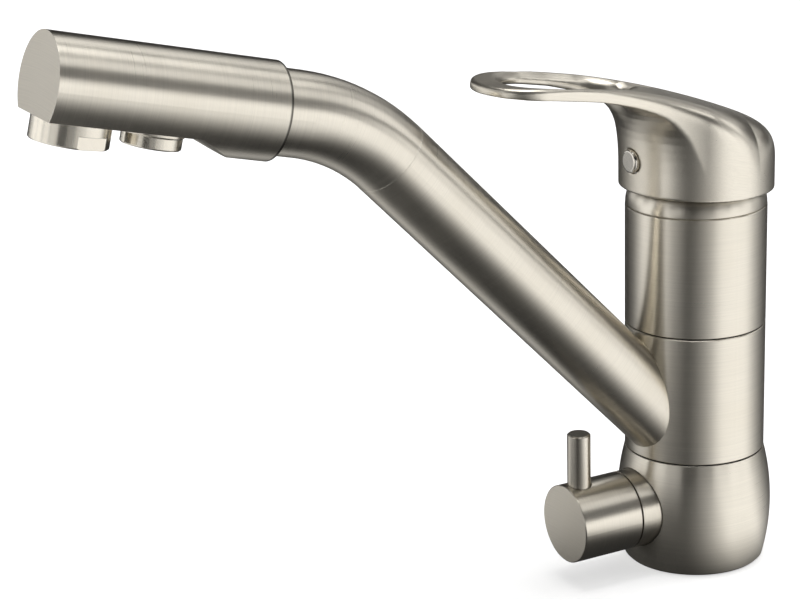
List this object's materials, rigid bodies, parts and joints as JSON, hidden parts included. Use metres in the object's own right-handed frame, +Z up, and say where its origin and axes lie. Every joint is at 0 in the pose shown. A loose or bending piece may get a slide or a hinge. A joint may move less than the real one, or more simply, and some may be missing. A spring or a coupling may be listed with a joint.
{
  "type": "drinking water filter tap",
  "caption": "Single-lever kitchen mixer with a bulged base, a side knob for filtered water, a rising swivel spout with a tilted cylindrical head, and two outlets under the head",
  "frame": {"origin": "centre of the base's underside, on the deck face", "axes": "+Z up along the column, the spout, lever and knob point to -Y at rest, +X to the right seen from in front"},
  "size_m": [0.0532, 0.2613, 0.2134],
  "materials": {
    "brushed_nickel": "satin",
    "brass": "satin",
    "rubber": "matte",
    "ceramic": "satin",
    "steel": "satin",
    "white_plastic": "matte",
    "blue_plastic": "matte",
    "grey_plastic": "matte",
    "chrome": "polished"
  },
  "bodies": {
    "stand": {"base_body": "brushed_nickel", "base_seal": "rubber", "core": "brass", "core_o_rings": "rubber", "lower_slide_ring": "rubber", "upper_slide_ring": "rubber", "upper_body": "brushed_nickel", "core_top_seals": "rubber", "filter_neck": "brushed_nickel", "filter_headwork": "brass", "filter_seat_ring": "rubber", "filter_disc_fixed": "ceramic", "cartridge_base": "white_plastic", "cartridge_port_seals": "rubber", "ceramic_disc_fixed": "ceramic", "cartridge_housing": "white_plastic", "cartridge_nut": "brass", "trim_collar": "brushed_nickel"},
    "spout": {"swivel_body": "brushed_nickel", "spout_tube": "brushed_nickel", "spout_head": "brushed_nickel", "head_gasket": "rubber", "filtered_pipe": "blue_plastic", "aerator_shell": "brushed_nickel", "aerator_insert": "white_plastic", "aerator_washer": "rubber", "outlet_shell": "brushed_nickel", "outlet_insert": "blue_plastic", "outlet_washer": "rubber"},
    "filter_handle": {"filter_knob": "brushed_nickel", "filter_pin": "brushed_nickel", "filter_spindle": "brass", "filter_disc_moving": "ceramic"},
    "rotor": {"cartridge_rotor": "grey_plastic", "pivot_pin": "steel"},
    "lever": {"lever_handle": "brushed_nickel", "lever_stem": "steel", "handle_screw": "steel", "handle_cap": "chrome"},
    "disc": {"ceramic_disc_moving": "ceramic", "disc_carrier": "blue_plastic"}
  },
  "joints": [
    {"name": "spout_swivel", "type": "hinge", "parent": "stand", "child": "spout", "pos_m": [0, 0, 0.063], "axis": [0, 0, 1], "continuous": true},
    {"name": "lever_turn", "type": "hinge", "parent": "stand", "child": "rotor", "pos_m": [0, 0, 0.117], "axis": [0, 0, 1], "range_deg": [-45, 45]},
    {"name": "lever_lift", "type": "hinge", "parent": "rotor", "child": "lever", "pos_m": [0, 0, 0.1265], "axis": [-1, 0, 0], "range_deg": [0, 22]},
    {"name": "disc_slide", "type": "slide", "parent": "rotor", "child": "disc", "axis": [0, -1, 0], "range_m": [0, 0.0052]},
    {"name": "filter_turn", "type": "hinge", "parent": "stand", "child": "filter_handle", "pos_m": [0, -0.042, 0.0214], "axis": [0, -1, 0], "range_deg": [0, 90]}
  ],
  "couplings": [
    {"joint": "disc_slide", "follows": "lever_lift", "m_per_rad": 0.013417}
  ]
}
